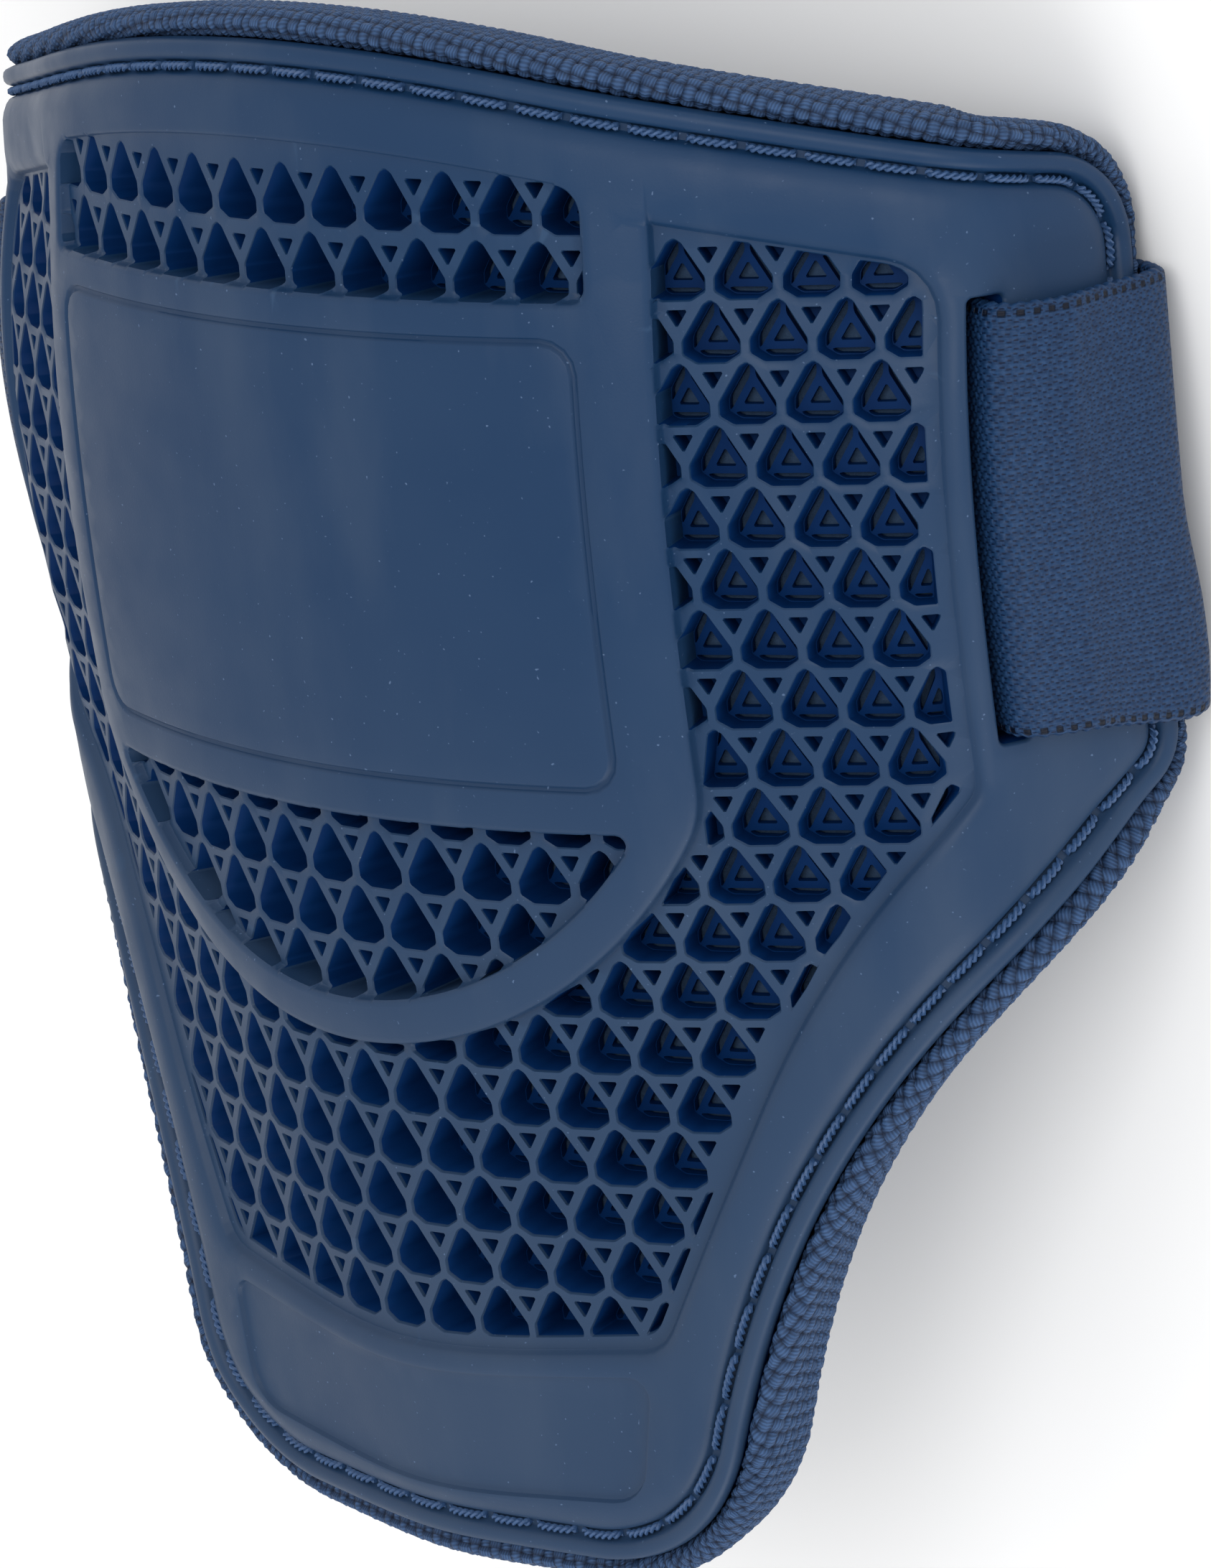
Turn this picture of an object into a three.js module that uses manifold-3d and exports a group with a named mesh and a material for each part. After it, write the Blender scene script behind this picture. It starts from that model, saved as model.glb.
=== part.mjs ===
// A batter's elbow guard lying face up: a moulded lattice shell on a foam pad, a woven cover and one elastic strap.
// Everything is drawn flat first, then bent to the arm: s runs across from the middle line, v runs up the guard,
// and h stands out from the side lattice. All lengths are millimetres and all angles radians.
import * as THREE from 'three';
import { mergeVertices } from 'three/addons/utils/BufferGeometryUtils.js';
import Module from 'manifold-3d';

const wasm = await Module();
wasm.setup();

// Heights above the side lattice
const BAR_TOP = 2.2;
const RAIL_TOP = 1.5;
const BEAD_TOP = 1.0;
const SHIELD_LATTICE = 0.8;
const GROOVE_FLOOR = -0.4;
const POCKET_FLOOR = -2.0;
const SHELL_BACK = -3.0;
const FOAM = { top: -4.3, back: -8.5 };
const COVER = { rim: 0.2, inside: -9.4, back: -10.6 };

// Lattice
const PITCH = 6.3;
const ROW = 5.8;
const ROWS = 20;
const LEVEL_ROW = 11;
const CELL = 0.82;

// Edge
const BEAD_WIDTH = 1.8;
const SEWING_WIDTH = 1.6;
const RIM = { gap: 0.3, width: 2.5 };
const BORDER = 1.2;

// Right half of each outline from the top down; r is the corner's radius
const OUTLINE = [
  { s: 0, v: 73.6, r: 187 },
  { s: 89.8, v: 58.4, r: 11 },
  { s: 90.2, v: -1.4, r: 7 },
  { s: 47.8, v: -31.2, r: 96 },
  { s: 34.4, v: -78.8, r: 19.5 },
];
const SIDE_WINDOW = [
  { s: 38, v: 54.6, r: 1 },
  { s: 67, v: 49.2, r: 4.5 },
  { s: 67, v: 0.6, r: 1.5 },
  { s: 49.9, v: -16.5, r: 100 },
  { s: 30, v: -54.4, r: 3 },
  { s: 0, v: -57.6, r: 150 },
];
const TOP_WINDOW = [
  { s: 0, v: 65, r: 190 },
  { s: 36, v: 58.7, r: 3.2 },
  { s: 36, v: 48.05, r: 1.2 },
];
const PANEL_LINE = [
  { s: 34.8, v: 44.6, r: 3.2 },
  { s: 34.8, v: 1.8, r: 3.2 },
];
const PLAQUE = [
  { s: 0, v: -60.9, r: 150 },
  { s: 29.6, v: -58.2, r: 2 },
  { s: 27.4, v: -71.4, r: 5 },
  { s: 0, v: -73.6, r: 150 },
];

// Shield: two bars joined below by a round band
const BAR_OUTER = 42.1;
const BAR_HEAD = 62;
const BAND = { centre: 21.6, outer: 47.8, inner: 43.2, shoulder: 10, corner: 1 };
const PANEL_FOOT = -2.65;

// Strap slot and strap
const SLOT = { inner: 70.6, outer: 73.8, low: 4.4, high: 47.3 };
const STRAP = { low: 4.9, high: 46.8, thick: 1.6, gap: 0.7, inSlot: 72.5, sag: 2.2, loose: 1.2 };
const PRESS = { depth: 1.7, full: 0.8, start: 13, earFrom: 66, earTo: 84 };
const STRAP_STEPS = 84;
const STRAP_ACROSS = 4;

// Bend to the arm: the turn across grows with s and levels off at the wing angle; the middle line leans with v
const CURL = { middle: 0.01105, slope: -0.000115, growth: 0.000002315, low: -60, high: 50 };
const WING = { middle: 0.9626, growth: 0.02575, low: -70 };
const LEAN = { first: 0.000382, second: -0.00000644, third: 0.00000036 };
const LIP = { lean: 0.13, from: -40, to: -80 };
const REST = { pitch: -0.0355, lift: 49.5, shift: 4.04 };

// The wings level off beside the shield, then the ears bend back: turn, and where it comes in
const WAIST_FADE = { from: -24, to: -4 };
const WINGS = [
  { turn: 0.05, from: 28, to: 42 },
  { turn: -0.17, from: 42, to: 62 },
];
const EAR = { turn: 0.7, from: 60, perV: 0.12, wide: 10 };

// The shell is thicker in the middle: more depth there, faded to none at the ends, and its share at each depth
const THICKER = { middle: 2.6, reach: 53, top: 60, topEnd: 67, low: -58, lowEnd: -66 };
const FULL_SHARE = { from: 2.1, to: 3.6, none: 8.5 };

// Fineness
const BENT_SAGITTA = 0.3;
const MOST_PASSES = 8;
const LONGEST_STEP = 5;
const SAGITTA = 0.12;
const RING_SHARES = [0.94, 0.88, 0.82, 0.76, 0.7, 0.64, 0.5, 0.25, 0];
const SPINE_SHARE = 0.6;

const NAVY_RUBBER = new THREE.MeshStandardMaterial({ color: 0x2b4068, roughness: 0.55, metalness: 0 });
const GREY_FOAM = new THREE.MeshStandardMaterial({ color: 0x8b929c, roughness: 0.9, metalness: 0 });
const NAVY_WEAVE = new THREE.MeshStandardMaterial({ color: 0x22375c, roughness: 0.95, metalness: 0 });
const NAVY_ELASTIC = new THREE.MeshStandardMaterial({ color: 0x25406c, roughness: 0.8, metalness: 0 });

const clamp = THREE.MathUtils.clamp;
const smooth = THREE.MathUtils.smoothstep;

function integral(f, to, steps = 48) {
  const d = to / steps;
  let sum = f(0) + f(to);
  for (let i = 1; i < steps; i++) sum += f(i * d) * (i % 2 ? 4 : 2);
  return (sum * d) / 3;
}

// How much deeper than at its sides the shell is at a flat point
function deeper(s, v, h) {
  const ends = smooth(v, THICKER.lowEnd, THICKER.low) * (1 - smooth(v, THICKER.top, THICKER.topEnd));
  const middle = 1 - Math.min(1, (s / THICKER.reach) ** 2);
  const share = Math.min(-h / FULL_SHARE.from, (FULL_SHARE.none + h) / (FULL_SHARE.none - FULL_SHARE.to));
  return THICKER.middle * middle * ends * clamp(share, 0, 1);
}

// A flat point on the bent guard, lying face up
function bend(s, v, flatH) {
  const h = flatH - deeper(s, v, flatH);
  const w = clamp(v, CURL.low, CURL.high);
  const curl = CURL.middle + CURL.slope * w + CURL.growth * w * w;
  const wing = WING.middle * Math.exp(WING.growth * Math.max(v, WING.low));
  const above = smooth(v, WAIST_FADE.from, WAIST_FADE.to);
  const ear = EAR.from + EAR.perV * v;
  const turn = (t) => {
    const out = Math.abs(t);
    const back = EAR.turn * smooth(out, ear, ear + EAR.wide);
    const extra = WINGS.reduce((sum, part) => sum + part.turn * smooth(out, part.from, part.to), back);
    return wing * Math.tanh((curl * t) / wing) + above * extra * Math.sign(t);
  };
  const lip = (t) => LIP.lean * smooth(-t, -LIP.from, -LIP.to);
  const lean = (t) => LEAN.first * t + LEAN.second * t * t + LEAN.third * t ** 3 + lip(t);
  const across = integral((t) => Math.cos(turn(t)), s) + h * Math.sin(turn(s));
  const depth = integral((t) => Math.sin(turn(t)), s) - h * Math.cos(turn(s));
  const a = lean(v);
  const along = integral((t) => Math.cos(lean(t)), v) - depth * Math.sin(a);
  const back = integral((t) => Math.sin(lean(t)), v) + depth * Math.cos(a);
  const c = Math.cos(REST.pitch);
  const n = Math.sin(REST.pitch);
  return new THREE.Vector3(across, along * c + back * n + REST.shift, along * n - back * c + REST.lift);
}

// The corners of a right half, completed on the left
function bothSides(half) {
  const left = half.filter((p) => p.s > 0).map((p) => ({ ...p, s: -p.s }));
  return [...half, ...left.reverse()];
}

function arc(s, v, radius, from, to) {
  const step = Math.min(LONGEST_STEP, Math.sqrt(8 * radius * SAGITTA));
  const n = Math.max(1, Math.ceil((Math.abs(to - from) * radius) / step));
  return Array.from({ length: n + 1 }, (_, i) => {
    const a = from + ((to - from) * i) / n;
    return new THREE.Vector2(s + radius * Math.cos(a), v + radius * Math.sin(a));
  });
}

// A closed loop whose corners are arcs
function rounded(corners) {
  return corners.flatMap((p, i) => {
    const here = new THREE.Vector2(p.s, p.v);
    const before = corners[(i + corners.length - 1) % corners.length];
    const after = corners[(i + 1) % corners.length];
    const a = new THREE.Vector2(before.s, before.v).sub(here).normalize();
    const b = new THREE.Vector2(after.s, after.v).sub(here).normalize();
    const half = Math.acos(clamp(a.dot(b), -1, 1)) / 2;
    const centre = a.clone().add(b).normalize().multiplyScalar(p.r / Math.sin(half)).add(here);
    const start = a.clone().multiplyScalar(p.r / Math.tan(half)).add(here).sub(centre).angle();
    const end = b.clone().multiplyScalar(p.r / Math.tan(half)).add(here).sub(centre).angle();
    const swing = Math.atan2(Math.sin(end - start), Math.cos(end - start));
    return arc(centre.x, centre.y, p.r, start, start + swing);
  });
}

// A loop whose long straight stretches are divided evenly, and also where they pass the stops
function spaced(loop, stops) {
  return loop.flatMap((p, i) => {
    const next = loop[(i + 1) % loop.length];
    const n = Math.ceil(p.distanceTo(next) / LONGEST_STEP);
    const shares = Array.from({ length: n }, (_, k) => k / n);
    const passed = stops.map((v) => (v - p.y) / (next.y - p.y)).filter((share) => share > 0 && share < 1);
    const tall = Math.abs(next.y - p.y) > STRAP.high - STRAP.low;
    return [...shares, ...(tall ? passed : [])].sort((a, b) => a - b).map((share) => p.clone().lerp(next, share));
  });
}

// A loop moved outwards by d, or inwards where d is negative, and drawn in by what inwards gives at each point
function offset(loop, d, inwards = () => 0) {
  const sign = THREE.ShapeUtils.isClockWise(loop) ? 1 : -1;
  return loop.map((p, i) => {
    const before = loop[(i + loop.length - 1) % loop.length];
    const after = loop[(i + 1) % loop.length];
    const along = after.clone().sub(before).normalize();
    const by = sign * (d - inwards(p));
    return new THREE.Vector2(p.x - along.y * by, p.y + along.x * by);
  });
}

function solidOf(geometry) {
  const plain = new THREE.BufferGeometry();
  plain.setAttribute('position', geometry.getAttribute('position'));
  if (geometry.index) plain.setIndex(geometry.index);
  const merged = mergeVertices(plain, 1e-4);
  const vertProperties = new Float32Array(merged.getAttribute('position').array);
  const triVerts = new Uint32Array(merged.index.array);
  return new wasm.Manifold(new wasm.Mesh({ numProp: 3, vertProperties, triVerts }));
}

function prism(loop, low, high) {
  const shape = new THREE.Shape(loop);
  const geometry = new THREE.ExtrudeGeometry(shape, { depth: high - low, bevelEnabled: false });
  return solidOf(geometry.translate(0, 0, low));
}

function prisms(loops, low, high) {
  return loops.map((loop) => prism(loop, low, high)).reduce((all, one) => all.add(one));
}

// Triangles whose edges are halved wherever the bent edge would stray from its chord; adds the new points
function refined(points, triangles) {
  const bent = points.map((p) => bend(p.x, p.y, p.z));
  const middles = new Map();
  const middle = (a, b) => {
    const key = a < b ? `${a} ${b}` : `${b} ${a}`;
    if (!middles.has(key)) {
      const half = points[a].clone().add(points[b]).multiplyScalar(0.5);
      const chord = bent[a].clone().add(bent[b]).multiplyScalar(0.5);
      const strays = chord.distanceTo(bend(half.x, half.y, half.z)) > BENT_SAGITTA;
      middles.set(key, strays ? points.push(half) - 1 : null);
    }
    return middles.get(key);
  };
  return triangles.flatMap(([a, b, c]) => {
    const added = [middle(a, b), middle(b, c), middle(c, a)];
    const ring = [a, added[0], b, added[1], c, added[2]].filter((i) => i !== null);
    const first = added.find((i) => i !== null);
    if (first === undefined) return [[a, b, c]];
    const at = ring.indexOf(first);
    const fan = [...ring.slice(at + 1), ...ring.slice(0, at)];
    return fan.slice(1).map((p, k) => [first, fan[k], p]);
  });
}

// A flat solid, refined and bent
function bentMesh(name, solid, material) {
  const cut = solid.getMesh();
  const flat = new THREE.BufferGeometry();
  flat.setAttribute('position', new THREE.BufferAttribute(new Float32Array(cut.vertProperties), 3));
  const position = flat.getAttribute('position');
  const points = Array.from({ length: position.count }, (_, i) => new THREE.Vector3().fromBufferAttribute(position, i));
  let triangles = Array.from({ length: cut.triVerts.length / 3 }, (_, i) => [...cut.triVerts.slice(3 * i, 3 * i + 3)]);
  for (let pass = 0; pass < MOST_PASSES; pass++) triangles = refined(points, triangles);
  const fine = new THREE.BufferGeometry().setFromPoints(points);
  fine.setIndex(triangles.flat());
  return placed(name, fine, material, bend);
}

// A bent solid through levels of one loop: walls between the levels, closed at both ends by rings of the loop that
// shrink onto the middle line
function levelMesh(name, levels, material) {
  const count = levels[0].loop.length;
  const rings = [...RING_SHARES].reverse().map((share) => ringOf(levels[0], share));
  rings.push(...levels.map((level) => ringOf(level, 1)));
  rings.push(...RING_SHARES.map((share) => ringOf(levels[levels.length - 1], share)));
  const points = rings.flat();
  const triangles = [];
  for (let r = 0; r + 1 < rings.length; r++) {
    for (let i = 0; i < count; i++) {
      const j = (i + 1) % count;
      const [a, b, c, d] = [r * count + i, r * count + j, (r + 1) * count + j, (r + 1) * count + i];
      triangles.push(a, c, b, a, d, c);
    }
  }
  const open = new THREE.BufferGeometry().setFromPoints(points);
  open.setIndex(triangles);
  const geometry = mergeVertices(open, 1e-4);
  const kept = [];
  for (let i = 0; i < geometry.index.count; i += 3) {
    const [a, b, c] = [0, 1, 2].map((k) => geometry.index.getX(i + k));
    if (a !== b && b !== c && c !== a) kept.push(a, b, c);
  }
  geometry.setIndex(kept);
  return placed(name, geometry, material, bend);
}

function ringOf(level, share) {
  const along = THREE.MathUtils.lerp(SPINE_SHARE, 1, share);
  return level.loop.map((p) => new THREE.Vector3(p.x * share, p.y * along, level.h));
}

function placed(name, geometry, material, place) {
  const position = geometry.getAttribute('position');
  for (let i = 0; i < position.count; i++) {
    const p = place(position.getX(i), position.getY(i), position.getZ(i));
    position.setXYZ(i, p.x, p.y, p.z);
  }
  geometry.computeVertexNormals();
  const mesh = new THREE.Mesh(geometry, material);
  mesh.name = name;
  return mesh;
}

// Outline of the shield: straight bars, round shoulders and a round band below
function shieldLoop() {
  const s = BAR_OUTER - BAND.shoulder;
  const drop = Math.sqrt((BAND.outer - BAND.shoulder) ** 2 - s ** 2);
  const v = BAND.centre - drop;
  const swing = Math.atan2(drop, s);
  return [
    new THREE.Vector2(-BAR_OUTER, BAR_HEAD),
    new THREE.Vector2(BAR_OUTER, BAR_HEAD),
    ...arc(s, v, BAND.shoulder, 0, -swing),
    ...arc(0, BAND.centre, BAND.outer, -swing, swing - Math.PI).slice(1, -1),
    ...arc(-s, v, BAND.shoulder, swing - Math.PI, -Math.PI),
  ];
}

// The window between the panel's foot and the band
function crescentLoop() {
  const v = PANEL_FOOT - BAND.corner;
  const drop = BAND.centre - v;
  const s = Math.sqrt((BAND.inner - BAND.corner) ** 2 - drop ** 2);
  const swing = Math.atan2(drop, s);
  return [
    ...arc(s, v, BAND.corner, Math.PI / 2, -swing),
    ...arc(0, BAND.centre, BAND.inner, -swing, swing - Math.PI).slice(1, -1),
    ...arc(-s, v, BAND.corner, swing - Math.PI, -1.5 * Math.PI),
  ];
}

function inside(loop, p) {
  let odd = false;
  loop.forEach((a, i) => {
    const b = loop[(i + 1) % loop.length];
    if (a.y > p.y !== b.y > p.y && p.x < a.x + ((b.x - a.x) * (p.y - a.y)) / (b.y - a.y)) odd = !odd;
  });
  return odd;
}

// Three-sided lattice pockets, point up, in rows that step sideways by half a pitch
function pockets() {
  const ring = [[0, 2 / 3], [-0.5, -1 / 3], [0.5, -1 / 3]];
  const cells = [];
  for (let row = 1; row <= ROWS; row++) {
    const v = (LEVEL_ROW - row - 1 / 3) * ROW;
    const shift = row % 2 ? 0.5 : 0;
    for (let column = -12; column <= 12; column++) {
      const s = (column + shift) * PITCH;
      const cell = ring.map(([a, b]) => new THREE.Vector2(s + a * PITCH * CELL, v + b * ROW * CELL));
      const atSides = cell.every((p) => inside(sideWindow, p) && !inside(shield, p));
      const inShield = [topWindow, crescent].some((loop) => cell.every((p) => inside(loop, p)));
      if (atSides || inShield) cells.push(cell);
    }
  }
  return prisms(cells, POCKET_FLOOR, BAR_TOP + 1);
}

const outline = rounded(bothSides(OUTLINE));
const padEdge = spaced(outline, [
  STRAP.low - PRESS.start,
  STRAP.low - PRESS.full,
  STRAP.high + PRESS.full,
  STRAP.high + PRESS.start,
]);
const sideWindow = rounded(bothSides(SIDE_WINDOW));
const topWindow = rounded(bothSides(TOP_WINDOW));
const panelLine = rounded(bothSides(PANEL_LINE));
const plaque = rounded(bothSides(PLAQUE));
const shield = shieldLoop();
const crescent = crescentLoop();
const slots = [1, -1].map((side) => [
  new THREE.Vector2(side * SLOT.inner, SLOT.low),
  new THREE.Vector2(side * SLOT.outer, SLOT.low),
  new THREE.Vector2(side * SLOT.outer, SLOT.high),
  new THREE.Vector2(side * SLOT.inner, SLOT.high),
]);

function shellSolid() {
  const within = 0.5;
  const plate = prism(outline, SHELL_BACK, 0);
  const bead = prism(outline, -within, BEAD_TOP).subtract(prism(offset(outline, -BEAD_WIDTH), -1, 2));
  const sewing = prism(offset(outline, -BEAD_WIDTH), GROOVE_FLOOR, 1);
  const inner = offset(outline, -BEAD_WIDTH - SEWING_WIDTH);
  const rails = prism(inner, -1, RAIL_TOP).subtract(prism(offset(sideWindow, BORDER), -2, 2));
  const floors = prism(offset(sideWindow, BORDER), -1, 0);
  const windows = prisms([topWindow, crescent], SHIELD_LATTICE, BAR_TOP + 1);
  const bars = prism(shield, -within, BAR_TOP).subtract(windows);
  const line = prism(offset(panelLine, 0.4), BAR_TOP - 0.4, BAR_TOP + 1).subtract(
    prism(offset(panelLine, -0.4), BAR_TOP - 1, BAR_TOP + 2),
  );
  const lowered = prism(plaque, RAIL_TOP - 0.5, RAIL_TOP + 1);
  return plate
    .subtract(sewing)
    .add(floors)
    .add(bead)
    .add(rails)
    .add(bars)
    .subtract(line)
    .subtract(lowered)
    .subtract(pockets())
    .subtract(prisms(slots, SHELL_BACK - 1, 6));
}

// How far the strap presses the pad's edge in
function pressed(p) {
  const outside = Math.max(STRAP.low - p.y, p.y - STRAP.high);
  const atEar = smooth(Math.abs(p.x), PRESS.earFrom, PRESS.earTo);
  return PRESS.depth * (1 - smooth(outside, PRESS.full, PRESS.start)) * atEar;
}

// Levels of the woven tray that wraps the pad's back and edge
function coverLevels() {
  const outer = offset(padEdge, RIM.gap + RIM.width, pressed);
  const inner = offset(padEdge, RIM.gap);
  return [
    { loop: outer, h: COVER.back },
    { loop: outer, h: COVER.rim },
    { loop: inner, h: COVER.rim },
    { loop: inner, h: COVER.inside },
  ];
}

// The strap's middle line on the right at height v: out of the slot, over the ear's edge, and down to the floor
function strapLine(v) {
  const edge = THREE.MathUtils.mapLinear(v, OUTLINE[1].v, OUTLINE[2].v, OUTLINE[1].s, OUTLINE[2].s);
  const rim = edge + RIM.gap + RIM.width - PRESS.depth;
  const clear = STRAP.thick / 2 + STRAP.gap;
  const slot = STRAP.inSlot;
  const front = [
    [slot, SHELL_BACK + 0.5],
    [slot, 0.5],
    [slot + 0.35, 2.2],
    [slot + 1.6, 3.3],
    [slot + 3.6, 3.9],
    [slot + 6.4, 4],
    [slot + 10, 3.6],
    [edge - 1, 3],
    [edge + 1, 2.35],
    [rim + 0.5, 1.5],
    [rim + clear + 0.1, COVER.rim - 1.5],
    [rim + clear, COVER.back / 2],
    [rim + clear, COVER.back + 1.5],
    [rim + clear - 0.05, COVER.back - 0.2],
  ];
  const low = (STRAP.high - v) / (STRAP.high - STRAP.low);
  const loose = STRAP.loose * smooth(low, 0.5, 0.8) * (1 - smooth(low, 0.85, 1.1));
  const points = front.map(([s, h]) => {
    const out = s + loose * smooth(s, slot + 8, edge);
    return bend(out, v - STRAP.sag * low ** 2 * smooth(out, slot + 4, edge), h);
  });
  const corner = bend(rim, v, COVER.back);
  const floor = STRAP.thick / 2;
  for (const share of [0.97, 0.93, 0.85, 0.6, 0.3, 0]) {
    points.push(new THREE.Vector3(corner.x * share, corner.y, floor));
  }
  return points;
}

// A point of the strap: t runs from slot to slot, w through the thickness
function strapPlace(t, v, w) {
  const line = strapLine(v);
  const left = line.slice(0, -1).reverse().map((p) => new THREE.Vector3(-p.x, p.y, p.z));
  const curve = new THREE.CatmullRomCurve3([...line, ...left], false, 'centripetal');
  const p = curve.getPoint(t);
  const along = curve.getTangent(t);
  p.z = Math.max(p.z, STRAP.thick / 2);
  const normal = new THREE.Vector3(-along.z, 0, along.x).normalize();
  const lying = p.z < STRAP.thick / 2 + 1e-3;
  return p.addScaledVector(lying ? new THREE.Vector3(0, 0, -1) : normal, w);
}

function strapMesh() {
  const box = new THREE.BoxGeometry(1, STRAP.high - STRAP.low, STRAP.thick, STRAP_STEPS, STRAP_ACROSS, 1);
  box.translate(0.5, (STRAP.low + STRAP.high) / 2, 0);
  box.deleteAttribute('normal');
  box.deleteAttribute('uv');
  return placed('strap', mergeVertices(box, 1e-5), NAVY_ELASTIC, strapPlace);
}

const guard = new THREE.Group();
guard.name = 'elbow_guard';
guard.add(bentMesh('shell', shellSolid(), NAVY_RUBBER));
guard.add(levelMesh('foam', [FOAM.back, FOAM.top].map((h) => ({ loop: offset(padEdge, -0.5), h })), GREY_FOAM));
guard.add(levelMesh('cover', coverLevels(), NAVY_WEAVE));
guard.add(strapMesh());

export default guard;
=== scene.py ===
"""Looks of a batter's elbow guard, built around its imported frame.
Pieces are drawn flat in millimetres, as the guard is: s runs across from the middle line, v runs up the
guard and h stands out from the side lattice. They are then bent to the arm and made in metres."""
import math

import bmesh
import bpy
import numpy as np
from mathutils import Matrix, Vector
from mathutils.geometry import delaunay_2d_cdt
from mathutils.kdtree import KDTree


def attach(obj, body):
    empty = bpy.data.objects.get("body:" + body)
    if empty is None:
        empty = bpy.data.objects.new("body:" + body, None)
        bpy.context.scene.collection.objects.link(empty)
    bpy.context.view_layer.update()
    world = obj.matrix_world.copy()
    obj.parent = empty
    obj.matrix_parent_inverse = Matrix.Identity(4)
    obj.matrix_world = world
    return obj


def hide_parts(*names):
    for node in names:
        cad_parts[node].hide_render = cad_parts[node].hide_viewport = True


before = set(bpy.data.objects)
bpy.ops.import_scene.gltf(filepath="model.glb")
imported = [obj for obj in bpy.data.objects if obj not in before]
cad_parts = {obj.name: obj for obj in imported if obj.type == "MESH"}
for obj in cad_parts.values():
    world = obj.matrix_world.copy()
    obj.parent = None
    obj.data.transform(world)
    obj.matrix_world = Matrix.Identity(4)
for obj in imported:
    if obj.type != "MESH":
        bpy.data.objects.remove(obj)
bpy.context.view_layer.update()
rng = np.random.default_rng(7)

MM = 0.001

# Heights above the side lattice
BAR_TOP = 2.2
RAIL_TOP = 1.5
SHIELD_LATTICE = 0.8
PLATE = -2.1
TRIANGLE_FLOOR = -1.9
SHELL_BACK = -3.0
# Below this depth the shell's faces take the rubber painted darker as recess shade
RECESS = -0.55
FOAM = {"top": -3.3, "back": -8.5, "inset": 0.5}
COVER_INSIDE = -9.4

# Lattice: cells point up in rows, with a small triangle between them at every other corner
PITCH = 6.3
ROW = 5.8
ROWS = 20
COLUMNS = 12
LEVEL_ROW = 11
WALL = 0.7
CENTRE_DROP = 2.2
CELL_CUT = 2.32
TRIANGLE_INNER = 0.6
DRAFT = 0.34
DROOP = 0.09
CHAMFER = 0.13
PLATE_INNER = 1.3
HOLE_INNER = 0.6
ARM = 0.5
LEDGE = 0.05
LEAST_CELL = 2.6
LEAST_DOT = 0.9
LEAST_GAP = 0.35
LEAST_BREADTH = 0.9
CELL_EASE = 0.15
TRIANGLE_EASE = 0.22
GAP_EASE = 0.2

# Right half of each outline from the top down: s, v, corner radius
OUTLINE = [(0, 73.6, 187), (89.8, 58.4, 11), (90.2, -1.4, 7), (47.8, -31.2, 96), (34.4, -78.8, 19.5)]
SIDE_WINDOW = [(38, 54.6, 1), (67, 49.2, 4.5), (67, 0.6, 1.5), (49.9, -16.5, 100), (30, -54.4, 3),
               (0, -57.6, 150)]
TOP_WINDOW = [(0, 65, 190), (36, 58.7, 3.2), (36, 48.05, 1.2)]
PANEL_LINE = [(34.8, 44.6, 3.2), (34.8, 1.8, 3.2)]
PLAQUE = [(0, -60.9, 150), (29.6, -58.2, 2), (27.4, -71.4, 5), (0, -73.6, 150)]
BORDER = 1.2
TOP_REACH = 1.0
TOP_STRETCH = {"from": 50, "growth": 0.0095}

# Shield: two bars joined below by a round band
BAR_OUTER = 42.1
BAR_HEAD = 62
BAR_FADE = 48
BAND = {"centre": 21.6, "outer": 47.8, "inner": 43.2, "shoulder": 10, "corner": 1}
PANEL_FOOT = -2.65

# Strap slot and strap
SLOT = {"inner": 70.6, "outer": 73.8, "low": 4.4, "high": 47.3, "corner": 0.6}
STRAP = {"low": 4.9, "high": 46.8, "thick": 1.6, "gap": 0.7, "in_slot": 72.5, "sag": 2.2, "loose": 1.2}
PRESS = {"depth": 1.7, "full": 0.8, "start": 13, "ear": (66, 84)}
RIM = {"gap": 0.3, "width": 2.5}

# Sections: distance in from the edge and height, or distance and share of a step
EDGE = [(0, 0.35), (0.15, 0.68), (0.45, 0.92), (0.95, 1.0), (1.45, 0.92), (1.8, 0.65), (2.0, 0.2),
        (2.1, -0.15), (2.25, -0.32), (2.95, -0.32), (3.1, -0.15), (3.2, 0.15), (3.4, 0.5), (3.9, 0.86),
        (4.8, 1.2), (5.6, 1.38), (7, 1.5)]
WALL_RINGS = [(0.14, 0.05), (0.18, -0.35), (0.08, -0.8), (-0.1, -1.2), (-0.12, -2.7), (-0.4, SHELL_BACK)]
FALL = [(0, 0), (0.1, 0.1), (0.28, 0.62), (0.6, 1.0), (1.5, 1.32), (3.6, RAIL_TOP)]
BAR_STEP = [(-0.25, 0), (-0.12, 0.1), (-0.02, 0.45), (0.1, 0.6), (0.3, 0.67), (0.8, 0.74), (2.2, 0.87),
            (5, 1)]
WINDOW_STEP = [(-0.65, 0), (-0.3, 0.06), (-0.1, 0.18), (0, 0.4), (0.1, 0.88), (0.22, 1)]
LINE_STEP = [(0, 1), (0.2, 0.85), (0.38, 0.15), (0.55, 0)]
LINE_DEPTH = 0.4
PLAQUE_STEP = [(-0.25, 0), (-0.05, 0.12), (0.15, 0.8), (0.45, 1)]
PLAQUE_DEPTH = 0.65
SLOT_STEP = [(0, 0.4), (0.12, 0.15), (0.35, 0)]
LATTICE_MARGIN = -0.1

# Bend to the arm: the turn across grows with s and levels off at the wing angle; the middle line leans with v
CURL = {"middle": 0.01105, "slope": -0.000115, "growth": 0.000002315, "low": -60, "high": 50}
WING = {"middle": 0.9626, "growth": 0.02575, "low": -70}
LEAN = (0.000382, -0.00000644, 0.00000036)
LIP = {"lean": 0.13, "from": -40, "to": -80}

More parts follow.
